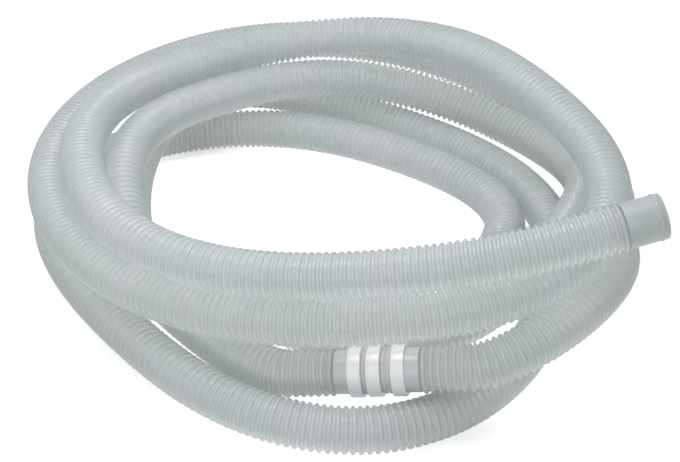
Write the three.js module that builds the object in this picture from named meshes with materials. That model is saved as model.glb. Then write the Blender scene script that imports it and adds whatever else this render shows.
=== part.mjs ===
// Pool vacuum hose, 38 mm bore, lying in a loose coil of about five turns.
// Two lengths of ribbed hose are joined by a collared joiner, and the far end has a swivel cuff.
// Millimetres, +Z up. The coil rests on the plane z = 0 and its plain front faces -Y.
import * as THREE from 'three';

// ---------------------------------------------------------------- driving dimensions

const boreDiameter = 38;          // clear bore of hose and cuffs
const fit = 0.3;                  // clearance between pieces that touch
const valleyWall = 1.5;           // hose wall between the ribs
const ribHeight = 2.5;
const cuffWall = 2.25;            // smooth sleeves
const bandWall = 3.15;            // clamp bands and the joiner's collar, over the cuffs
const valleyDiameter = boreDiameter + 2 * valleyWall;
const ribDiameter = valleyDiameter + 2 * ribHeight;
const cuffDiameter = boreDiameter + 2 * cuffWall;
const bandDiameter = cuffDiameter + 2 * (fit + bandWall);

const hoseSides = 8;              // facets round the hose
const ribsPerLength = 88;         // ribs drawn on each of the two hose lengths
const restingCut = ribDiameter / 10; // how deep the hose is flattened where it lies on the floor
const floorSkin = 1.2;            // wall kept under the bore where the hose is flattened
const roundSides = 32;            // facets round the moulded pieces

const endCuffLength = 37;
const mouthBeadSetback = 6;       // from a cuff's mouth to the bead round it
const mouthBeadWidth = 3.2;
const mouthBeadHeight = 0.8;
const edgeRound = 0.7;            // rounded edges of the cuffs

const bandWidth = 12.6;
const bandEdge = 1;
const collarWidth = 13;
const cuffSmoothRun = 13.6;       // smooth part between the last rib and the clamp band
const beadPitch = 5;              // room of one bead at the cuff's mouth
const beadHeight = 0.9;
const beadCount = { first: 2, second: 1 };

const joinerWall = 2.2;
const joinerReach = 24;           // how far the joiner goes into each cuff

const bushLength = 14;            // fixed on the far end of the hose
const bushWebThickness = 3;
const swivelWebThickness = 7;     // the cuff's back wall, held between bush and insert
const lipClearance = 0.5;         // between the insert's lip and the cuff's socket
const lipThickness = 3;
const lipHeight = 1.3;            // of the lip over the neck on which the cuff turns
const neckWall = 2.2;
const lipDiameter = boreDiameter - 2 * lipClearance;
const neckDiameter = lipDiameter - 2 * lipHeight;
const neckBore = neckDiameter - 2 * neckWall;
const sealThickness = 1.6;
const swivelReach = 46;           // free depth of the swivel cuff's socket
const swivelWall = 2.8;
const swivelDiameter = boreDiameter + 2 * swivelWall;
const gripRidgeCount = 4;
const gripRidgeHeight = 0.7;
const gripRidgePitch = 5;

// ---------------------------------------------------------------- route of the coil

// The hose winds clockwise seen from above. One row is one turn of eight stations, 45 degrees apart, from the
// front right. A station is a control point of a smooth spline: its distance from the coil's upright axis and
// its height above a floor under the round, unflattened hose.
const stationStep = 45;
const firstStation = -45;
const stationRadii = [
  [374, 265, 306, 294, 300, 296, 178, 196],
  [333, 278, 302, 343, 372, 412, 384, 236],
  [320, 379, 247, 262, 258, 268, 326, 214],
  [207, 229, 185, 252, 319, 293, 225, 205],
  [228, 368, 291, 342, 375, 167, 176, 160],
  [85],
].flat();
const stationHeights = [
  [226, 161, 142, 164, 126, 143, 185, 183],
  [151, 115, 95, 102, 106, 90, 13, 26],
  [132, 65, 31, 137, 99, 105, 10, 89],
  [68, 25, 77, -14, 130, 17, 24, 32],
  [26, 18, 45, 60, 15, 50, 29, 33],
  [28],
].flat();
const coilAxis = { x: 27.8, y: -33.85 }; // the turns wind round this upright axis
const coilStart = -33;            // degrees; the hose runs straight before this
const coilEnd = 1706;             // degrees; the hose runs straight after this
const straightRun = ribDiameter;  // straight hose before each fitting

// The stiff joint lies on a straight line of its own, at the front of the third turn.
const jointAngle = 716;           // degrees round the coil
const jointSweep = 60;            // degrees on each side in which the hose bends into the joint's line
const jointOffset = { x: 14, y: -287, z: 60 }; // its middle, from the coil's axis and the floor
const jointHeading = 7.6;         // degrees, turned from -X towards +Y
const jointSlope = -8.7;          // degrees, falling
const bridgeFullness = { first: [2.04, 0.42], second: [0.65, 0.42] }; // pull of the bridging curves' two ends

// One value of the cubic spline through the controls, at u stations from the first.
function splineValue(controls, u) {
  const last = controls.length - 1;
  const k = Math.min(Math.max(Math.floor(u), 0), last - 1);
  const t = u - k;
  const a = k > 0 ? controls[k - 1] : 2 * controls[0] - controls[1];
  const d = k + 2 <= last ? controls[k + 2] : 2 * controls[last] - controls[last - 1];
  const weights = [(1 - t) ** 3, 3 * t ** 3 - 6 * t * t + 4, -3 * t ** 3 + 3 * t * t + 3 * t + 1, t ** 3];
  const values = [a, controls[k], controls[k + 1], d];
  return values.reduce((sum, value, n) => sum + value * weights[n], 0) / 6;
}

function coilPoint(angle) {
  const u = (angle - firstStation) / stationStep;
  const radius = splineValue(stationRadii, u);
  const turn = THREE.MathUtils.degToRad(angle);
  const height = splineValue(stationHeights, u) - restingCut;
  return new THREE.Vector3(coilAxis.x - radius * Math.sin(turn), coilAxis.y - radius * Math.cos(turn), height);
}

function coilDirection(angle) {
  return coilPoint(angle + 0.5).sub(coilPoint(angle - 0.5)).normalize();
}

// Points of a curve from one place and direction to another, without its two ends. The two values of fullness
// say how far it keeps its end directions.
function bridge(from, fromDirection, to, toDirection, fullness) {
  const span = from.distanceTo(to);
  const steps = 60;
  const points = [];
  for (let k = 1; k < steps; k += 1) {
    const t = k / steps;
    const point = from.clone().multiplyScalar(2 * t ** 3 - 3 * t * t + 1);
    point.addScaledVector(fromDirection, (t ** 3 - 2 * t * t + t) * span * fullness[0]);
    point.addScaledVector(to, 3 * t * t - 2 * t ** 3);
    point.addScaledVector(toDirection, (t ** 3 - t * t) * span * fullness[1]);
    points.push(point);
  }
  return points;
}

// Points along a straight line, with both ends.
function straight(from, to, steps) {
  const points = [];
  for (let k = 0; k <= steps; k += 1) points.push(from.clone().lerp(to, k / steps));
  return points;
}

function turns(fromAngle, toAngle) {
  const points = [];
  for (let angle = fromAngle; angle <= toAngle; angle += 1) points.push(coilPoint(angle));
  return points;
}

// A line of close points that can be read by the length along it.
class Route {
  constructor(points) {
    this.points = points;
    this.lengths = [0];
    for (let k = 1; k < points.length; k += 1) {
      this.lengths.push(this.lengths[k - 1] + points[k].distanceTo(points[k - 1]));
    }
    this.total = this.lengths[points.length - 1];
  }

  pointAt(length) {
    let low = 0;
    let high = this.points.length - 1;
    while (high - low > 1) {
      const middle = (low + high) >> 1;
      if (this.lengths[middle] <= length) low = middle;
      else high = middle;
    }
    const share = (length - this.lengths[low]) / (this.lengths[high] - this.lengths[low]);
    return this.points[low].clone().lerp(this.points[high], share);
  }

  directionAt(length, reach = 4) {
    const before = this.pointAt(Math.max(length - reach, 0));
    const after = this.pointAt(Math.min(length + reach, this.total));
    return after.sub(before).normalize();
  }
}

// Lengths of the joint on each side of the collar's middle.
const cuffLength = (beads) => cuffSmoothRun + bandWidth + beads * beadPitch;
const jointReach = {
  first: collarWidth / 2 + fit + cuffLength(beadCount.first),
  second: collarWidth / 2 + fit + cuffLength(beadCount.second),
};

const jointMiddle = new THREE.Vector3(
  coilAxis.x + jointOffset.x,
  coilAxis.y + jointOffset.y,
  jointOffset.z - restingCut,
);
const slope = THREE.MathUtils.degToRad(jointSlope);
const heading = THREE.MathUtils.degToRad(jointHeading);
const level = Math.cos(slope);
const jointDirection = new THREE.Vector3(
  -level * Math.cos(heading),
  level * Math.sin(heading),
  Math.sin(slope),
);

// Two routes: from the end cuff to the joint, and from the joint to the swivel.
function firstRoute() {
  const points = turns(coilStart, jointAngle - jointSweep);
  const lineEnd = jointMiddle.clone().addScaledVector(jointDirection, -jointReach.first - fit);
  const lineStart = lineEnd.clone().addScaledVector(jointDirection, -straightRun);
  const arrival = coilDirection(jointAngle - jointSweep);
  const startDirection = points[0].clone().sub(points[1]).normalize();
  const mouth = points[0].clone().addScaledVector(startDirection, straightRun);
  return new Route([
    ...straight(mouth, points[0], 8).slice(0, -1),
    ...points,
    ...bridge(points.at(-1), arrival, lineStart, jointDirection, bridgeFullness.first),
    ...straight(lineStart, lineEnd, 8),
  ]);
}

function secondRoute() {
  const points = turns(jointAngle + jointSweep, coilEnd);
  const lineStart = jointMiddle.clone().addScaledVector(jointDirection, jointReach.second + fit);
  const lineEnd = lineStart.clone().addScaledVector(jointDirection, straightRun);
  const leaving = coilDirection(jointAngle + jointSweep);
  const endDirection = points.at(-1).clone().sub(points.at(-2)).normalize();
  const mouth = points.at(-1).clone().addScaledVector(endDirection, straightRun);
  return new Route([
    ...straight(lineStart, lineEnd, 8),
    ...bridge(lineEnd, jointDirection, points[0], leaving, bridgeFullness.second),
    ...points,
    ...straight(points.at(-1), mouth, 8).slice(1),
  ]);
}

const first = firstRoute();
const second = secondRoute();

// ---------------------------------------------------------------- ribbed hose

// A ring of points round the route, with a flat side down and nothing lower than the floor given.
function ring(route, length, radius, lowest) {
  const centre = route.pointAt(length);
  const along = route.directionAt(length);
  const side = new THREE.Vector3(along.y, -along.x, 0).normalize();
  const up = side.clone().cross(along);
  const points = [];
  for (let k = 0; k < hoseSides; k += 1) {
    const angle = (k + 0.5) * 2 * Math.PI / hoseSides;
    const point = centre.clone();
    point.addScaledVector(side, radius * Math.sin(angle));
    point.addScaledVector(up, radius * Math.cos(angle));
    point.z = Math.max(point.z, lowest);
    points.push(point);
  }
  return points;
}

// One ribbed length with its bore: a crest and a valley ring for each rib, a bore ring at each valley.
function ribbedHose(route) {
  const pitch = route.total / ribsPerLength;
  const outer = [ring(route, 0, valleyDiameter / 2, 0)];
  const inner = [ring(route, 0, boreDiameter / 2, floorSkin)];
  for (let rib = 0; rib < ribsPerLength; rib += 1) {
    outer.push(ring(route, (rib + 0.5) * pitch, ribDiameter / 2, 0));
    outer.push(ring(route, (rib + 1) * pitch, valleyDiameter / 2, 0));
    inner.push(ring(route, (rib + 1) * pitch, boreDiameter / 2, floorSkin));
  }
  const rings = [...outer, ...inner.reverse()];
  const corners = rings.flat();
  const faces = [];
  for (let k = 0; k < rings.length; k += 1) {
    const here = k * hoseSides;
    const next = ((k + 1) % rings.length) * hoseSides;
    for (let n = 0; n < hoseSides; n += 1) {
      const m = (n + 1) % hoseSides;
      faces.push(here + n, next + m, next + n, here + n, here + m, next + m);
    }
  }
  const geometry = new THREE.BufferGeometry();
  geometry.setAttribute('position', new THREE.Float32BufferAttribute(corners.flatMap((p) => p.toArray()), 3));
  geometry.setIndex(faces);
  geometry.computeVertexNormals();
  return geometry;
}

// ---------------------------------------------------------------- moulded pieces

// A revolved piece from its outline, given as [distance along the axis, radius] and closed on itself.
function revolved(outline) {
  const points = outline.map(([along, radius]) => new THREE.Vector2(radius, along));
  points.push(points[0].clone());
  return new THREE.LatheGeometry(points, roundSides);
}

function endCuff() {
  const outer = cuffDiameter / 2;
  const bore = boreDiameter / 2;
  const bead = endCuffLength - mouthBeadSetback;
  return revolved([
    [0, bore],
    [0, outer - edgeRound],
    [edgeRound, outer],
    [bead - mouthBeadWidth / 2, outer],
    [bead - mouthBeadWidth / 4, outer + mouthBeadHeight],
    [bead + mouthBeadWidth / 4, outer + mouthBeadHeight],
    [bead + mouthBeadWidth / 2, outer],
    [endCuffLength - edgeRound, outer],
    [endCuffLength, outer - edgeRound],
    [endCuffLength, bore + edgeRound / 2],
    [endCuffLength - edgeRound, bore],
  ]);
}

// A cuff of the joint: smooth under the band, with round beads between the band and the collar.
function jointCuff(beads) {
  const outer = cuffDiameter / 2;
  const length = cuffLength(beads);
  const outside = [[0, outer - edgeRound], [edgeRound, outer]];
  for (let bead = 0; bead < beads; bead += 1) {
    const foot = cuffSmoothRun + bandWidth + bead * beadPitch;
    outside.push([foot + 0.15 * beadPitch, outer]);
    outside.push([foot + 0.35 * beadPitch, outer + beadHeight]);
    outside.push([foot + 0.65 * beadPitch, outer + beadHeight]);
    outside.push([foot + 0.85 * beadPitch, outer]);
  }
  outside.push([length, outer - 0.3 * beadHeight]);
  return revolved([[0, boreDiameter / 2], ...outside, [length, boreDiameter / 2]]);
}

function clampBand() {
  const inner = cuffDiameter / 2 + fit;
  const outer = bandDiameter / 2;
  return revolved([
    [0, inner],
    [0, outer - bandEdge],
    [bandEdge, outer],
    [bandWidth - bandEdge, outer],
    [bandWidth, outer - bandEdge],
    [bandWidth, inner],
  ]);
}

// The joiner: a collar in the middle of a tube that reaches into both cuffs.
function joiner() {
  const tube = boreDiameter / 2 - fit;
  const outer = bandDiameter / 2;
  const half = collarWidth / 2;
  const end = half + joinerReach;
  return revolved([
    [-end, tube - joinerWall],
    [-end, tube - 0.6],
    [-end + 2, tube],
    [-half, tube],
    [-half, outer - bandEdge],
    [-half + bandEdge, outer],
    [half - bandEdge, outer],
    [half, outer - bandEdge],
    [half, tube],
    [end - 2, tube],
    [end, tube - 0.6],
    [end, tube - joinerWall],
  ]);
}

// The bush on the far end of the hose, with a socket that holds the swivel insert's neck.
function hoseEndBush() {
  const outer = cuffDiameter / 2;
  const neck = neckDiameter / 2 + fit;
  return revolved([
    [0, boreDiameter / 2 - joinerWall],
    [0, outer - edgeRound],
    [edgeRound, outer],
    [bushLength - edgeRound, outer],
    [bushLength, outer - edgeRound],
    [bushLength, neck],
    [bushWebThickness, neck],
    [bushWebThickness, boreDiameter / 2 - joinerWall],
  ]);
}

// Stations of the swivel along its axis, from the bush's face on the hose.
const insertStart = bushWebThickness + fit;
const cuffStart = bushLength + fit;
const webEnd = cuffStart + swivelWebThickness;
const sealStart = webEnd + fit;
const lipStart = sealStart + sealThickness + fit;
const swivelEnd = webEnd + swivelReach;

// The insert: its neck is fixed in the bush and its lip keeps the swivel cuff on.
function swivelInsert() {
  const inner = neckBore / 2;
  const neck = neckDiameter / 2;
  const lip = lipDiameter / 2;
  return revolved([
    [insertStart, inner],
    [insertStart, neck],
    [lipStart, neck],
    [lipStart, lip],
    [lipStart + lipThickness - 0.8, lip],
    [lipStart + lipThickness, lip - 0.8],
    [lipStart + lipThickness, inner],
  ]);
}

function swivelSeal() {
  const inner = neckDiameter / 2 + fit;
  const outer = lipDiameter / 2 - fit;
  return revolved([[0, inner], [0, outer], [sealThickness, outer], [sealThickness, inner]]);
}

// The swivel cuff: a back wall that turns on the neck, a socket, and grip ridges round the outside.
function swivelCuff() {
  const outer = swivelDiameter / 2;
  const bore = boreDiameter / 2;
  const neck = neckDiameter / 2 + fit;
  const ridges = [];
  for (let k = 0; k < gripRidgeCount; k += 1) {
    const foot = cuffStart + 3 + k * gripRidgePitch;
    ridges.push([foot, outer - gripRidgeHeight]);
    ridges.push([foot + 0.3 * gripRidgePitch, outer]);
    ridges.push([foot + 0.6 * gripRidgePitch, outer]);
    ridges.push([foot + 0.9 * gripRidgePitch, outer - gripRidgeHeight]);
  }
  return revolved([
    [cuffStart, neck],
    [cuffStart, outer - gripRidgeHeight - edgeRound],
    [cuffStart + edgeRound, outer - gripRidgeHeight],
    ...ridges,
    [swivelEnd - mouthBeadSetback, outer - gripRidgeHeight],
    [swivelEnd - mouthBeadSetback + 1, outer],
    [swivelEnd - edgeRound, outer],
    [swivelEnd, outer - edgeRound],
    [swivelEnd, bore + edgeRound],
    [swivelEnd - edgeRound, bore],
    [webEnd, bore],
    [webEnd, neck],
  ]);
}

// ---------------------------------------------------------------- the assembly

const milkyPlastic = { color: 0xc4cdd0, roughness: 0.42, metalness: 0 };
const whitePlastic = { color: 0xf4f6f8, roughness: 0.38, metalness: 0 };
const greyPlastic = { color: 0xb9c0c4, roughness: 0.45, metalness: 0 };
const sealRubber = { color: 0x2b2d2f, roughness: 0.8, metalness: 0 };

const hoseCoil = new THREE.Group();

function addPiece(name, geometry, finish) {
  const mesh = new THREE.Mesh(geometry, new THREE.MeshStandardMaterial(finish));
  mesh.name = name;
  hoseCoil.add(mesh);
  return mesh;
}

// Puts a revolved piece's axis on a line, a distance along it.
function placeOnAxis(mesh, origin, direction, along = 0) {
  mesh.quaternion.setFromUnitVectors(new THREE.Vector3(0, 1, 0), direction);
  mesh.position.copy(origin).addScaledVector(direction, along);
}

addPiece('hose_first_length', ribbedHose(first), milkyPlastic);
addPiece('hose_second_length', ribbedHose(second), milkyPlastic);

const mouthDirection = first.directionAt(0).negate();
placeOnAxis(addPiece('end_cuff', endCuff(), milkyPlastic), first.points[0], mouthDirection, fit);

const joint = [
  { side: 'first', direction: jointDirection, beads: beadCount.first },
  { side: 'second', direction: jointDirection.clone().negate(), beads: beadCount.second },
];
for (const { side, direction, beads } of joint) {
  const start = -jointReach[side];
  placeOnAxis(addPiece(`joint_cuff_${side}`, jointCuff(beads), milkyPlastic), jointMiddle, direction, start);
  const band = addPiece(`clamp_band_${side}`, clampBand(), whitePlastic);
  placeOnAxis(band, jointMiddle, direction, start + cuffSmoothRun);
}
placeOnAxis(addPiece('joiner', joiner(), whitePlastic), jointMiddle, jointDirection);

const farEnd = second.points.at(-1);
const farDirection = second.directionAt(second.total);
const swivelPieces = [
  ['hose_end_bush', hoseEndBush(), greyPlastic, fit],
  ['swivel_insert', swivelInsert(), greyPlastic, fit],
  ['swivel_cuff', swivelCuff(), milkyPlastic, fit],
  ['swivel_seal', swivelSeal(), sealRubber, fit + sealStart],
];
for (const [name, geometry, finish, along] of swivelPieces) {
  placeOnAxis(addPiece(name, geometry, finish), farEnd, farDirection, along);
}

// ---------------------------------------------------------------- least gap between the turns

// Clear distance between stretches of the hose that are far apart along it, measured on points of its route.
function leastGap() {
  const spacing = 5;
  const neighbour = 50;
  const points = [];
  for (const route of [first, second]) {
    for (let length = 0; length <= route.total; length += spacing) points.push(route.pointAt(length));
  }
  let least = Infinity;
  for (let k = 0; k < points.length; k += 1) {
    for (let n = k + neighbour; n < points.length; n += 1) {
      least = Math.min(least, points[k].distanceTo(points[n]));
    }
  }
  return least - ribDiameter;
}
const hoseLength = (first.total + second.total) / 1000;
console.log(`hose ${hoseLength.toFixed(2)} m, least gap between turns ${leastGap().toFixed(2)} mm`);

export default hoseCoil;
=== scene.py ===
"""A pool vacuum hose in a loose coil, dressed over its CAD frame. Metres, +Z up, plain front towards -Y."""

import math

import bpy
import numpy as np
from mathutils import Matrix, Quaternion, Vector


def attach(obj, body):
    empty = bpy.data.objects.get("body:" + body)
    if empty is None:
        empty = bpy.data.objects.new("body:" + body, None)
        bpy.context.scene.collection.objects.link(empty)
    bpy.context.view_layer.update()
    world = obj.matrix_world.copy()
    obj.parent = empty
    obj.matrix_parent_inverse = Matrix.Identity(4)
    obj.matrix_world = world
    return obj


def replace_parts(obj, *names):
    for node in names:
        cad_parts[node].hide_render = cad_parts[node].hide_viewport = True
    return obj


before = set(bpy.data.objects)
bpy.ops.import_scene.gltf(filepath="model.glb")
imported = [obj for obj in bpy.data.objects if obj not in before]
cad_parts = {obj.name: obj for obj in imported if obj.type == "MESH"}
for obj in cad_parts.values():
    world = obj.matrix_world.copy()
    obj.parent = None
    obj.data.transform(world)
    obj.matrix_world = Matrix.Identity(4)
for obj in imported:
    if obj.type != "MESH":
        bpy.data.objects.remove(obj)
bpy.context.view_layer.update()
MM = 0.001

# ------------------------------------------------------------------ sizes, the same as the CAD model's

BORE_DIAMETER = 38
RIB_DIAMETER = 46
VALLEY_DIAMETER = 41
CUFF_DIAMETER = 42.5
BAND_DIAMETER = 49.4
FIT = 0.3
RESTING_CUT = RIB_DIAMETER / 10
FLOOR_SKIN = 1.2

END_CUFF_LENGTH = 37
MOUTH_BEAD_SETBACK = 6
MOUTH_BEAD_WIDTH = 3.2
MOUTH_BEAD_HEIGHT = 0.8
BAND_WIDTH = 12.6
COLLAR_WIDTH = 13
JOINER_REACH = 24
JOINER_WALL = 2.2
CUFF_SMOOTH_RUN = 13.6
BEAD_PITCH = 5
BEAD_HEIGHT = 0.9
BEAD_SIDE = 0.75  # plain run on either side of a bead
BEAD_SLOPE = 1
INNER_BEVEL = 0.27  # how far the cuff's inner end narrows
BEADS = {"first": 2, "second": 1}

BUSH_LENGTH = 14
SWIVEL_WEB = 7
SWIVEL_REACH = 46
SWIVEL_DIAMETER = 43.6
NECK_DIAMETER = 34.4
GRIP_RIDGES = 4
GRIP_RIDGE_HEIGHT = 0.7
GRIP_RIDGE_PITCH = 5
GRIP_RIDGE_SLOPE = 1.5
GRIP_START = 3
MOUTH_STEP = 1
CORNER_ROUND = 0.45
CORNER_STEPS = 3
CORNER_SHARE = 1 / 2.2  # most of an edge that one rounded corner may take

RIB_PITCH = 7.3
SIDES = 24
RIBS_PER_BORE_RING = 3
CUFF_SIDES = 96

# ------------------------------------------------------------------ route of the coil, as in the CAD model

STATION_STEP = 45
FIRST_STATION = -45
STATION_RADII = [
    374, 265, 306, 294, 300, 296, 178, 196,
    333, 278, 302, 343, 372, 412, 384, 236,
    320, 379, 247, 262, 258, 268, 326, 214,
    207, 229, 185, 252, 319, 293, 225, 205,
    228, 368, 291, 342, 375, 167, 176, 160,
    85,
]
STATION_HEIGHTS = [
    226, 161, 142, 164, 126, 143, 185, 183,
    151, 115, 95, 102, 106, 90, 13, 26,
    132, 65, 31, 137, 99, 105, 10, 89,
    68, 25, 77, -14, 130, 17, 24, 32,
    26, 18, 45, 60, 15, 50, 29, 33,
    28,
]
COIL_AXIS = (27.8, -33.85)
COIL_START = -33
COIL_END = 1706
STRAIGHT_RUN = RIB_DIAMETER
JOINT_ANGLE = 716
JOINT_SWEEP = 60
JOINT_MIDDLE = Vector((COIL_AXIS[0] + 14, COIL_AXIS[1] - 287, 60 - RESTING_CUT))
JOINT_HEADING = math.radians(7.6)
JOINT_SLOPE = math.radians(-8.7)
BRIDGE_FULLNESS = {"first": (2.04, 0.42), "second": (0.65, 0.42)}


def spline_value(controls, u):
    """A uniform cubic spline that the controls pull along, read u stations from the first."""
    last = len(controls) - 1
    k = min(max(math.floor(u), 0), last - 1)
    t = u - k
    before = controls[k - 1] if k > 0 else 2 * controls[0] - controls[1]
    after = controls[k + 2] if k + 2 <= last else 2 * controls[last] - controls[last - 1]
    values = (before, controls[k], controls[k + 1], after)
    weights = ((1 - t) ** 3, 3 * t**3 - 6 * t * t + 4, -3 * t**3 + 3 * t * t + 3 * t + 1, t**3)
    return sum(value * weight for value, weight in zip(values, weights)) / 6


def coil_point(angle):
    """A place on the coil, by its angle in degrees about the coil's axis."""
    u = (angle - FIRST_STATION) / STATION_STEP
    radius = spline_value(STATION_RADII, u)
    turn = math.radians(angle)
    height = spline_value(STATION_HEIGHTS, u) - RESTING_CUT
    return Vector((COIL_AXIS[0] - radius * math.sin(turn), COIL_AXIS[1] - radius * math.cos(turn), height))


def coil_direction(angle):
    return (coil_point(angle + 0.5) - coil_point(angle - 0.5)).normalized()


def turns(start, end):
    return [coil_point(start + k) for k in range(int(end - start) + 1)]


def straight(start, end, steps=8):
    return [start.lerp(end, k / steps) for k in range(steps + 1)]


def bridge(start, start_direction, end, end_direction, fullness, steps=60):
    """A curve from one place and direction to another, without its two ends."""
    span = (end - start).length
    points = []
    for k in range(1, steps):
        t = k / steps
        point = start * (2 * t**3 - 3 * t * t + 1) + end * (3 * t * t - 2 * t**3)
        point += start_direction * ((t**3 - 2 * t * t + t) * span * fullness[0])
        points.append(point + end_direction * ((t**3 - t * t) * span * fullness[1]))
    return points


class Route:
    """A line of close points that can be read by the length along it, all in millimetres."""

    def __init__(self, points):
        self.points = np.array([tuple(p) for p in points])
        steps = np.linalg.norm(np.diff(self.points, axis=0), axis=1)
        self.lengths = np.concatenate([[0], np.cumsum(steps)])
        self.total = self.lengths[-1]

    def at(self, lengths):
        axes = [np.interp(lengths, self.lengths, self.points[:, axis]) for axis in range(3)]
        return np.stack(axes, axis=-1)

    def directions(self, lengths, reach=4):
        ahead = self.at(np.minimum(lengths + reach, self.total))
        behind = self.at(np.maximum(lengths - reach, 0))
        along = ahead - behind
        return along / np.linalg.norm(along, axis=-1, keepdims=True)


def cuff_length(beads):
    return CUFF_SMOOTH_RUN + BAND_WIDTH + beads * BEAD_PITCH


JOINT_REACH = {side: COLLAR_WIDTH / 2 + FIT + cuff_length(beads) for side, beads in BEADS.items()}
JOINT_DIRECTION = Vector((
    -math.cos(JOINT_SLOPE) * math.cos(JOINT_HEADING),
    math.cos(JOINT_SLOPE) * math.sin(JOINT_HEADING),
    math.sin(JOINT_SLOPE),
))


def first_route():
    """From the end cuff to the joint."""
    points = turns(COIL_START, JOINT_ANGLE - JOINT_SWEEP)
    line_end = JOINT_MIDDLE - JOINT_DIRECTION * (JOINT_REACH["first"] + FIT)
    line_start = line_end - JOINT_DIRECTION * STRAIGHT_RUN
    mouth = points[0] + (points[0] - points[1]).normalized() * STRAIGHT_RUN
    arrival = coil_direction(JOINT_ANGLE - JOINT_SWEEP)
    curve = bridge(points[-1], arrival, line_start, JOINT_DIRECTION, BRIDGE_FULLNESS["first"])
    return Route(straight(mouth, points[0])[:-1] + points + curve + straight(line_start, line_end))


def second_route():
    """From the joint to the swivel."""
    points = turns(JOINT_ANGLE + JOINT_SWEEP, COIL_END)
    line_start = JOINT_MIDDLE + JOINT_DIRECTION * (JOINT_REACH["second"] + FIT)
    line_end = line_start + JOINT_DIRECTION * STRAIGHT_RUN
    mouth = points[-1] + (points[-1] - points[-2]).normalized() * STRAIGHT_RUN
    leaving = coil_direction(JOINT_ANGLE + JOINT_SWEEP)
    curve = bridge(line_end, JOINT_DIRECTION, points[0], leaving, BRIDGE_FULLNESS["second"])
    return Route(straight(line_start, line_end) + curve + points + straight(points[-1], mouth)[1:])


first = first_route()
second = second_route()

# ------------------------------------------------------------------ camera

VIEW_CENTRE = Vector((COIL_AXIS[0] * MM, COIL_AXIS[1] * MM, 0.0554))
VIEW_ELEVATION = math.radians(30.66)
VIEW_DISTANCE = 1.8264
VIEW_LENS = 88.67
VIEW_YAW = -0.01435  # the coil's axis lies a little right of the picture's middle
VIEW_PITCH = -0.00948
VIEW_ROLL = math.radians(0.4)


def make_camera():
    forward = Vector((0, math.cos(VIEW_ELEVATION), -math.sin(VIEW_ELEVATION)))
    up = Vector((0, math.sin(VIEW_ELEVATION), math.cos(VIEW_ELEVATION)))
    data = bpy.data.cameras.new("camera")
    data.lens = VIEW_LENS
    data.clip_end = 50
    camera = bpy.data.objects.new("camera", data)
    camera.location = VIEW_CENTRE - forward * VIEW_DISTANCE
    aim = forward + Vector((VIEW_YAW, 0, 0)) + up * VIEW_PITCH
    roll = Quaternion((0, 0, 1), VIEW_ROLL)
    camera.rotation_mode = "QUATERNION"
    camera.rotation_quaternion = aim.to_track_quat("-Z", "Y") @ roll
    bpy.context.collection.objects.link(camera)
    bpy.context.scene.camera = camera


make_camera()

# ------------------------------------------------------------------ materials


class Nodes:
    """Short names for building a node tree."""

    def __init__(self, name):
        self.material = bpy.data.materials.new(name)
        self.material.use_nodes = True
        self.tree = self.material.node_tree
        self.shader = self.tree.nodes["Principled BSDF"]
        self.output = self.tree.nodes["Material Output"]

    def add(self, kind, **settings):
        node = self.tree.nodes.new(kind)
        for key, value in settings.items():
            if key in node.inputs:
                node.inputs[key].default_value = value
            else:
                setattr(node, key, value)
        return node

    def link(self, source, target):
        self.tree.links.new(source, target)

    def ramp(self, source, stops):
        node = self.tree.nodes.new("ShaderNodeValToRGB")
        while len(node.color_ramp.elements) < len(stops):
            node.color_ramp.elements.new(0.5)
        for element, (position, colour) in zip(node.color_ramp.elements, stops):
            element.position = position
            element.color = (*colour, 1)
        self.link(source, node.inputs["Fac"])
        return node.outputs["Color"]

    def mix(self, first, second, amount, blend="MIX"):
        node = self.add("ShaderNodeMix", data_type="RGBA", blend_type=blend)
        colours = [socket for socket in node.inputs if socket.type == "RGBA"]
        for socket, value in zip(colours, (first, second)):
            if isinstance(value, tuple):
                socket.default_value = (*value, 1)
            else:
                self.link(value, socket)
        factor = node.inputs[0]
        if isinstance(amount, (int, float)):
            factor.default_value = amount
        else:
            self.link(amount, factor)
        return [socket for socket in node.outputs if socket.type == "RGBA"][0]


PASSED_LIGHT = 0.985  # share of a lamp's light that passes each skin of the hose's wall


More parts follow.
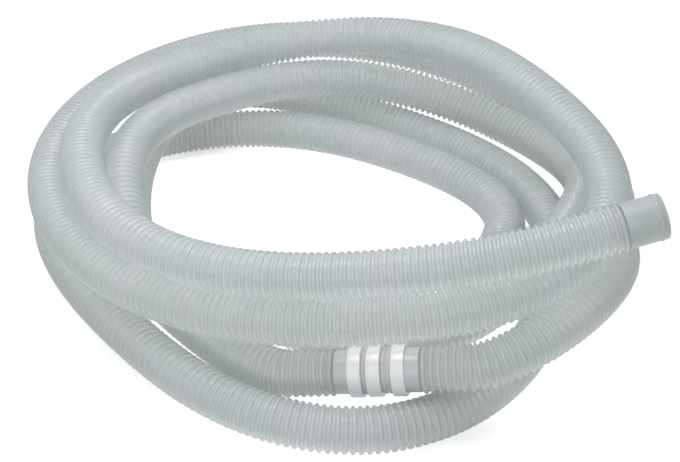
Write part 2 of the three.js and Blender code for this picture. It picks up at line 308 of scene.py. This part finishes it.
def milky_plastic(name, stops, translucency, depth, roughness, grain=900):
    """Milky see-through plastic with a fine haze, coloured across each rib by the stops; the hose's stops
    hold painted light and shade, so its ribs' feet read as fine lines.
    """
    nodes = Nodes(name)
    place = nodes.add("ShaderNodeTexCoord").outputs["Object"]
    crown = nodes.add("ShaderNodeAttribute", attribute_name="crest").outputs["Fac"]
    ribs = nodes.ramp(crown, stops)
    cloud = nodes.add("ShaderNodeTexNoise", Scale=9.0, Detail=3.0, Roughness=0.5)
    nodes.link(place, cloud.inputs["Vector"])
    drift = nodes.ramp(cloud.outputs["Fac"], [(0.35, (0.93, 0.96, 0.945)), (0.65, (1.0, 0.99, 1.0))])
    colour = nodes.mix(ribs, drift, 1.0, "MULTIPLY")
    haze = nodes.add("ShaderNodeTexNoise", Scale=grain, Detail=2.0, Roughness=0.6)
    nodes.link(place, haze.inputs["Vector"])
    bump = nodes.add("ShaderNodeBump", Strength=0.06, Distance=0.0002)
    nodes.link(haze.outputs["Fac"], bump.inputs["Height"])
    rough = nodes.add("ShaderNodeMapRange")
    nodes.link(cloud.outputs["Fac"], rough.inputs["Value"])
    rough.inputs["To Min"].default_value = roughness
    rough.inputs["To Max"].default_value = roughness + 0.08
    shader = nodes.shader
    shader.inputs["Subsurface Weight"].default_value = 0.85
    shader.inputs["Subsurface Radius"].default_value = (1.0, 1.0, 0.95)
    shader.inputs["Subsurface Scale"].default_value = depth
    nodes.link(colour, shader.inputs["Base Color"])
    nodes.link(rough.outputs["Result"], shader.inputs["Roughness"])
    nodes.link(bump.outputs["Normal"], shader.inputs["Normal"])
    shader.inputs["IOR"].default_value = 1.5
    shader.inputs["Specular IOR Level"].default_value = 1.0
    shader.inputs["Coat Weight"].default_value = 0.5
    shader.inputs["Coat Roughness"].default_value = roughness
    through = nodes.add("ShaderNodeBsdfTranslucent")
    nodes.link(colour, through.inputs["Color"])
    nodes.link(bump.outputs["Normal"], through.inputs["Normal"])
    blend = nodes.add("ShaderNodeMixShader", Fac=translucency)
    nodes.link(shader.outputs["BSDF"], blend.inputs[1])
    nodes.link(through.outputs["BSDF"], blend.inputs[2])
    # Light passes through the milky wall, so the turns shade each other and the floor only partly.
    path = nodes.add("ShaderNodeLightPath")
    passed = nodes.add("ShaderNodeMath", operation="MULTIPLY")
    nodes.link(path.outputs["Is Shadow Ray"], passed.inputs[0])
    passed.inputs[1].default_value = PASSED_LIGHT
    clear = nodes.add("ShaderNodeBsdfTransparent", Color=(1.0, 0.993, 0.972, 1))
    whole = nodes.add("ShaderNodeMixShader")
    nodes.link(passed.outputs["Value"], whole.inputs["Fac"])
    nodes.link(blend.outputs["Shader"], whole.inputs[1])
    nodes.link(clear.outputs["BSDF"], whole.inputs[2])
    nodes.link(whole.outputs["Shader"], nodes.output.inputs["Surface"])
    return nodes.material


def moulded_plastic(name, colour, roughness, scale=500):
    """Opaque moulded plastic with a fine grain and faint flow marks."""
    nodes = Nodes(name)
    place = nodes.add("ShaderNodeTexCoord").outputs["Object"]
    cloud = nodes.add("ShaderNodeTexNoise", Scale=40.0, Detail=4.0)
    nodes.link(place, cloud.inputs["Vector"])
    shade = nodes.ramp(cloud.outputs["Fac"], [(0.3, tuple(c * 0.955 for c in colour)), (0.7, colour)])
    grain = nodes.add("ShaderNodeTexNoise", Scale=scale, Detail=3.0)
    nodes.link(place, grain.inputs["Vector"])
    bump = nodes.add("ShaderNodeBump", Strength=0.1, Distance=0.0002)
    nodes.link(grain.outputs["Fac"], bump.inputs["Height"])
    rough = nodes.add("ShaderNodeMapRange")
    nodes.link(cloud.outputs["Fac"], rough.inputs["Value"])
    rough.inputs["To Min"].default_value = roughness - 0.05
    rough.inputs["To Max"].default_value = roughness + 0.07
    nodes.link(shade, nodes.shader.inputs["Base Color"])
    nodes.link(rough.outputs["Result"], nodes.shader.inputs["Roughness"])
    nodes.link(bump.outputs["Normal"], nodes.shader.inputs["Normal"])
    return nodes.material


# Painted light and shade across a rib, by its crest value: the valleys are painted lighter against the shade
# that falls in them, the slopes darker as painted shade, the crests a little lighter.
RIB_PAINTED_LIGHT_AND_SHADE = [
    (0.0, (0.80, 0.825, 0.83)),
    (0.3, (0.69, 0.72, 0.725)),
    (0.75, (0.69, 0.72, 0.73)),
    (1.0, (0.72, 0.75, 0.77)),
]
CUFF_SHADES = [(0.0, (0.53, 0.57, 0.58)), (1.0, (0.54, 0.58, 0.59))]
# The joint cuffs take a lighter copy of the cuff plastic. This is partly painted light, lifting them out of
# the shade of the turns around them, and partly the end cuff's own greyer tone.
JOINT_SHADES_WITH_PAINTED_LIGHT = [(0.0, (0.62, 0.66, 0.67)), (1.0, (0.63, 0.67, 0.68))]
WHITE_SHADES = [(0.0, (0.92, 0.93, 0.96)), (1.0, (0.94, 0.95, 0.985))]
HOSE = milky_plastic("hose_plastic", RIB_PAINTED_LIGHT_AND_SHADE, translucency=0.48, depth=0.010, roughness=0.12)
CUFF = milky_plastic("cuff_plastic", CUFF_SHADES, translucency=0.25, depth=0.006, roughness=0.38)
JOINT_CUFF = milky_plastic("joint_cuff_plastic", JOINT_SHADES_WITH_PAINTED_LIGHT, translucency=0.25, depth=0.006, roughness=0.30)
WHITE = milky_plastic("white_plastic", WHITE_SHADES, translucency=0.22, depth=0.003, roughness=0.24)
GREY = moulded_plastic("grey_plastic", (0.50, 0.53, 0.55), roughness=0.42)
RUBBER = moulded_plastic("seal_rubber", (0.03, 0.032, 0.035), roughness=0.7)

# ------------------------------------------------------------------ ribbed hose


def ring_points(route, lengths, radii, lowest):
    """Rings of points round the route, flattened where they would go through the floor. Metres."""
    centres = route.at(lengths)
    along = route.directions(lengths)
    side = np.stack([along[:, 1], -along[:, 0], np.zeros(len(along))], axis=-1)
    side /= np.linalg.norm(side, axis=-1, keepdims=True)
    up = np.cross(side, along)
    turn = (np.arange(SIDES) + 0.5) * 2 * math.pi / SIDES
    reach = np.asarray(radii)[:, None, None]
    ring = side[:, None] * np.sin(turn)[None, :, None] + up[:, None] * np.cos(turn)[None, :, None]
    points = centres[:, None] + reach * ring
    points[..., 2] = np.maximum(points[..., 2], lowest)
    return points * MM


# One rib along its pitch: share of the pitch, and how far up from the valley to the crest.
RIB_PROFILE = [(0.17, 0.0), (0.25, 0.66), (0.38, 1.0), (0.62, 1.0), (0.75, 0.66), (0.83, 0.0)]


def ribbed_hose(name, route):
    count = round(route.total / RIB_PITCH)
    pitch = route.total / count
    shares = np.array([share for share, _ in RIB_PROFILE])
    rises = np.array([rise for _, rise in RIB_PROFILE])
    lengths = (np.arange(count)[:, None] + shares[None, :]).ravel() * pitch
    crest = np.tile(rises, count)
    lengths = np.append(lengths, route.total)
    crest = np.append(crest, 0.0)
    radii = (VALLEY_DIAMETER + (RIB_DIAMETER - VALLEY_DIAMETER) * crest) / 2
    bore_lengths = np.linspace(route.total, 0, count // RIBS_PER_BORE_RING + 1)
    bore_radii = np.full(len(bore_lengths), BORE_DIAMETER / 2)
    outer = ring_points(route, lengths, radii, 0)
    inner = ring_points(route, bore_lengths, bore_radii, FLOOR_SKIN)
    rings = np.concatenate([outer, inner])
    shades = np.concatenate([crest, np.zeros(len(bore_lengths))])
    hose = tube_mesh(name, rings, shades)
    hose.data.materials.append(HOSE)
    centreline = (route.at(lengths) * MM).tolist()
    return hose, centreline


def tube_mesh(name, rings, shades):
    """A closed skin over rings of points, the last ring joined to the first."""
    count, sides = rings.shape[:2]
    here = np.arange(count)[:, None] * sides
    after = ((np.arange(count) + 1) % count)[:, None] * sides
    corner = np.arange(sides)[None, :]
    following = (corner + 1) % sides
    faces = np.stack([here + corner, here + following, after + following, after + corner], axis=-1)
    mesh = bpy.data.meshes.new(name)
    mesh.from_pydata(rings.reshape(-1, 3).tolist(), [], faces.reshape(-1, 4).tolist())
    attribute = mesh.attributes.new("crest", "FLOAT", "POINT")
    attribute.data.foreach_set("value", np.repeat(shades, sides).astype(np.float32))
    mesh.shade_smooth()
    piece = bpy.data.objects.new(name, mesh)
    bpy.context.collection.objects.link(piece)
    return piece


hose_first, line_first = ribbed_hose("ribbed_hose_first", first)
hose_second, line_second = ribbed_hose("ribbed_hose_second", second)

# ------------------------------------------------------------------ moulded pieces


def rounded(outline):
    """The outline with each corner rounded: a list of (along, radius) in millimetres."""
    points = []
    count = len(outline)
    for k in range(count):
        corner = Vector(outline[k])
        before = Vector(outline[k - 1]) - corner
        after = Vector(outline[(k + 1) % count]) - corner
        reach = min(CORNER_ROUND, before.length * CORNER_SHARE, after.length * CORNER_SHARE)
        start = corner + before.normalized() * reach
        end = corner + after.normalized() * reach
        for step in range(CORNER_STEPS + 1):
            t = step / CORNER_STEPS
            points.append(start * (1 - t) ** 2 + corner * (2 * t * (1 - t)) + end * t * t)
    return points


def revolved(name, outline, origin, direction, along, material):
    """A closed outline turned round an axis. Outline and distances in millimetres."""
    outline = rounded(outline)
    axis = Vector(direction).normalized()
    side = axis.orthogonal().normalized()
    third = axis.cross(side)
    base = Vector(origin) + axis * along
    rings = []
    for point in outline:
        centre = base + axis * point.x
        ring = []
        for k in range(CUFF_SIDES):
            turn = k * 2 * math.pi / CUFF_SIDES
            ring.append(tuple((centre + (side * math.cos(turn) + third * math.sin(turn)) * point.y) * MM))
        rings.append(ring)
    piece = tube_mesh(name, np.array(rings), np.ones(len(rings)))
    piece.data.materials.append(material)
    return piece


def end_cuff_outline():
    outer = CUFF_DIAMETER / 2
    bore = BORE_DIAMETER / 2
    bead = END_CUFF_LENGTH - MOUTH_BEAD_SETBACK
    crown = outer + MOUTH_BEAD_HEIGHT
    foot = MOUTH_BEAD_WIDTH / 2
    top = MOUTH_BEAD_WIDTH / 4
    return [
        (0, bore), (0, outer), (bead - foot, outer), (bead - top, crown), (bead + top, crown),
        (bead + foot, outer), (END_CUFF_LENGTH, outer), (END_CUFF_LENGTH, bore),
    ]


def joint_cuff_outline(beads):
    outer = CUFF_DIAMETER / 2
    bore = BORE_DIAMETER / 2
    crown = outer + BEAD_HEIGHT
    outline = [(0, bore), (0, outer)]
    for bead in range(beads):
        foot = CUFF_SMOOTH_RUN + BAND_WIDTH + bead * BEAD_PITCH + BEAD_SIDE
        end = foot + BEAD_PITCH - 2 * BEAD_SIDE
        outline += [(foot, outer), (foot + BEAD_SLOPE, crown), (end - BEAD_SLOPE, crown), (end, outer)]
    return outline + [(cuff_length(beads), outer - INNER_BEVEL), (cuff_length(beads), bore)]


def band_outline():
    inner = CUFF_DIAMETER / 2 + FIT
    outer = BAND_DIAMETER / 2
    return [(0, inner), (0, outer), (BAND_WIDTH, outer), (BAND_WIDTH, inner)]


def joiner_outline():
    tube = BORE_DIAMETER / 2 - FIT
    outer = BAND_DIAMETER / 2
    half = COLLAR_WIDTH / 2
    end = half + JOINER_REACH
    return [
        (-end, tube - JOINER_WALL), (-end, tube), (-half, tube), (-half, outer),
        (half, outer), (half, tube), (end, tube), (end, tube - JOINER_WALL),
    ]


def swivel_cuff_outline():
    start = BUSH_LENGTH + FIT
    web = start + SWIVEL_WEB
    end = web + SWIVEL_REACH
    outer = SWIVEL_DIAMETER / 2
    body = outer - GRIP_RIDGE_HEIGHT
    bore = BORE_DIAMETER / 2
    neck = NECK_DIAMETER / 2 + FIT
    outline = [(start, neck), (start, body)]
    for k in range(GRIP_RIDGES):
        foot = start + GRIP_START + k * GRIP_RIDGE_PITCH
        rise = foot + GRIP_RIDGE_SLOPE
        fall = rise + GRIP_RIDGE_SLOPE
        outline += [(foot, body), (rise, outer), (fall, outer), (fall + GRIP_RIDGE_SLOPE, body)]
    step = end - MOUTH_BEAD_SETBACK
    outline += [(step, body), (step + MOUTH_STEP, outer), (end, outer)]
    return outline + [(end, bore), (web, bore), (web, neck)]


mouth = Vector(first.points[0])
mouth_direction = -Vector(first.directions(np.array([0.0]))[0])
end_cuff = revolved("cuff_at_end", end_cuff_outline(), mouth, mouth_direction, FIT, CUFF)
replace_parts(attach(end_cuff, "hose"), "end_cuff")

for side, direction in (("first", JOINT_DIRECTION), ("second", -JOINT_DIRECTION)):
    start = -JOINT_REACH[side]
    outline = joint_cuff_outline(BEADS[side])
    cuff = revolved(f"cuff_at_joint_{side}", outline, JOINT_MIDDLE, direction, start, JOINT_CUFF)
    band_start = start + CUFF_SMOOTH_RUN
    band = revolved(f"white_band_{side}", band_outline(), JOINT_MIDDLE, direction, band_start, WHITE)
    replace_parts(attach(cuff, "hose"), f"joint_cuff_{side}")
    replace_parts(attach(band, "hose"), f"clamp_band_{side}")
collar = revolved("white_collar", joiner_outline(), JOINT_MIDDLE, JOINT_DIRECTION, 0, WHITE)
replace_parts(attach(collar, "hose"), "joiner")

far_end = Vector(second.points[-1])
far_direction = Vector(second.directions(np.array([second.total]))[0])
swivel = revolved("turning_cuff", swivel_cuff_outline(), far_end, far_direction, FIT, CUFF)
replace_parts(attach(swivel, "swivel"), "swivel_cuff")


def refinish(node, material):
    """A CAD node keeps its shape and takes this material."""
    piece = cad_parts[node]
    for slot in piece.material_slots:
        slot.material = material


refinish("hose_end_bush", GREY)
refinish("swivel_insert", GREY)
refinish("swivel_seal", RUBBER)

for piece, node in ((hose_first, "hose_first_length"), (hose_second, "hose_second_length")):
    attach(piece, "hose")
    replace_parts(piece, node)

# ------------------------------------------------------------------ floor, light and background

FLOOR_HALF = 4.0
FLOOR_DROP = 0.0004  # keeps the floor clear of the hose's flattened underside
FLOOR_GREY = 0.80
WORLD_LIGHT = 0.43
# What the camera sees on top of the floor's own light, for a white background: near the coil, and far
# off, where the lamps light the floor less.
NEAR_LIFT, FAR_LIFT = 0.50, 0.68
NEAR_RADIUS, FAR_RADIUS = 0.6, 2.2


def sees_background(tree):
    """1 for rays that see the white background: the camera's, mirrored and through clear matter."""
    path = tree.nodes.new("ShaderNodeLightPath")
    total = path.outputs["Is Camera Ray"]
    clear = tree.nodes.new("ShaderNodeMath")
    clear.operation = "SUBTRACT"
    clear.use_clamp = True
    tree.links.new(path.outputs["Is Transmission Ray"], clear.inputs[0])
    tree.links.new(path.outputs["Is Diffuse Ray"], clear.inputs[1])
    for ray in (path.outputs["Is Glossy Ray"], clear.outputs["Value"]):
        step = tree.nodes.new("ShaderNodeMath")
        step.operation = "MAXIMUM"
        tree.links.new(total, step.inputs[0])
        tree.links.new(ray, step.inputs[1])
        total = step.outputs["Value"]
    return total


def make_floor():
    mesh = bpy.data.meshes.new("floor")
    corners = [(-FLOOR_HALF, -FLOOR_HALF, 0), (FLOOR_HALF, -FLOOR_HALF, 0)]
    corners += [(FLOOR_HALF, FLOOR_HALF, 0), (-FLOOR_HALF, FLOOR_HALF, 0)]
    mesh.from_pydata(corners, [], [(0, 1, 2, 3)])
    floor = bpy.data.objects.new("floor", mesh)
    floor.location.z = -FLOOR_DROP
    bpy.context.collection.objects.link(floor)
    nodes = Nodes("pale_floor")
    nodes.shader.inputs["Base Color"].default_value = (FLOOR_GREY, FLOOR_GREY, FLOOR_GREY, 1)
    nodes.shader.inputs["Roughness"].default_value = 0.9
    nodes.shader.inputs["Specular IOR Level"].default_value = 0.1
    radius = nodes.add("ShaderNodeVectorMath", operation="LENGTH")
    nodes.link(nodes.add("ShaderNodeTexCoord").outputs["Object"], radius.inputs[0])
    by_radius = nodes.add("ShaderNodeMapRange")
    nodes.link(radius.outputs["Value"], by_radius.inputs["Value"])
    by_radius.inputs["From Min"].default_value = NEAR_RADIUS
    by_radius.inputs["From Max"].default_value = FAR_RADIUS
    by_radius.inputs["To Min"].default_value = NEAR_LIFT
    by_radius.inputs["To Max"].default_value = FAR_LIFT
    lift = nodes.add("ShaderNodeMath", operation="MULTIPLY")
    nodes.link(sees_background(nodes.tree), lift.inputs[0])
    nodes.link(by_radius.outputs["Result"], lift.inputs[1])
    pale = nodes.add("ShaderNodeEmission", Color=(1, 1, 1, 1))
    nodes.link(lift.outputs["Value"], pale.inputs["Strength"])
    both = nodes.add("ShaderNodeAddShader")
    nodes.link(nodes.shader.outputs["BSDF"], both.inputs[0])
    nodes.link(pale.outputs["Emission"], both.inputs[1])
    nodes.link(both.outputs["Shader"], nodes.output.inputs["Surface"])
    mesh.materials.append(nodes.material)


def area_light(name, location, target, size, power, colour=(1, 1, 1)):
    data = bpy.data.lights.new(name, "AREA")
    data.shape = "DISK"
    data.size = size
    data.energy = power
    data.color = colour
    light = bpy.data.objects.new(name, data)
    light.location = location
    light.rotation_euler = (Vector(target) - Vector(location)).to_track_quat("-Z", "Y").to_euler()
    bpy.context.collection.objects.link(light)


def make_world():
    """A white studio: pure white to the camera and in reflections, soft white light to everything else."""
    world = bpy.data.worlds.new("studio")
    bpy.context.scene.world = world
    world.use_nodes = True
    tree = world.node_tree
    light = tree.nodes["Background"]
    light.inputs["Color"].default_value = (0.97, 1.0, 0.99, 1)
    light.inputs["Strength"].default_value = WORLD_LIGHT
    seen = tree.nodes.new("ShaderNodeBackground")
    seen.inputs["Color"].default_value = (1, 1, 1, 1)
    seen.inputs["Strength"].default_value = 1.0
    mix = tree.nodes.new("ShaderNodeMixShader")
    tree.links.new(sees_background(tree), mix.inputs["Fac"])
    tree.links.new(light.outputs["Background"], mix.inputs[1])
    tree.links.new(seen.outputs["Background"], mix.inputs[2])
    tree.links.new(mix.outputs["Shader"], tree.nodes["World Output"].inputs["Surface"])


make_floor()
make_world()
COOL_WHITE = (0.97, 0.965, 1.0)
WARM_WHITE = (1.0, 0.995, 0.98)
area_light("overhead", (-0.22, -0.14, 1.15), (-0.1, -0.06, 0), size=0.55, power=5.5, colour=COOL_WHITE)
area_light("front", (-0.4, -2.5, 1.2), (0, 0, 0.1), size=2.4, power=15, colour=WARM_WHITE)
area_light("back", (-0.2, 2.2, 1.8), (0, 0, 0), size=1.8, power=3)

bpy.context.scene.view_settings.view_transform = "Standard"
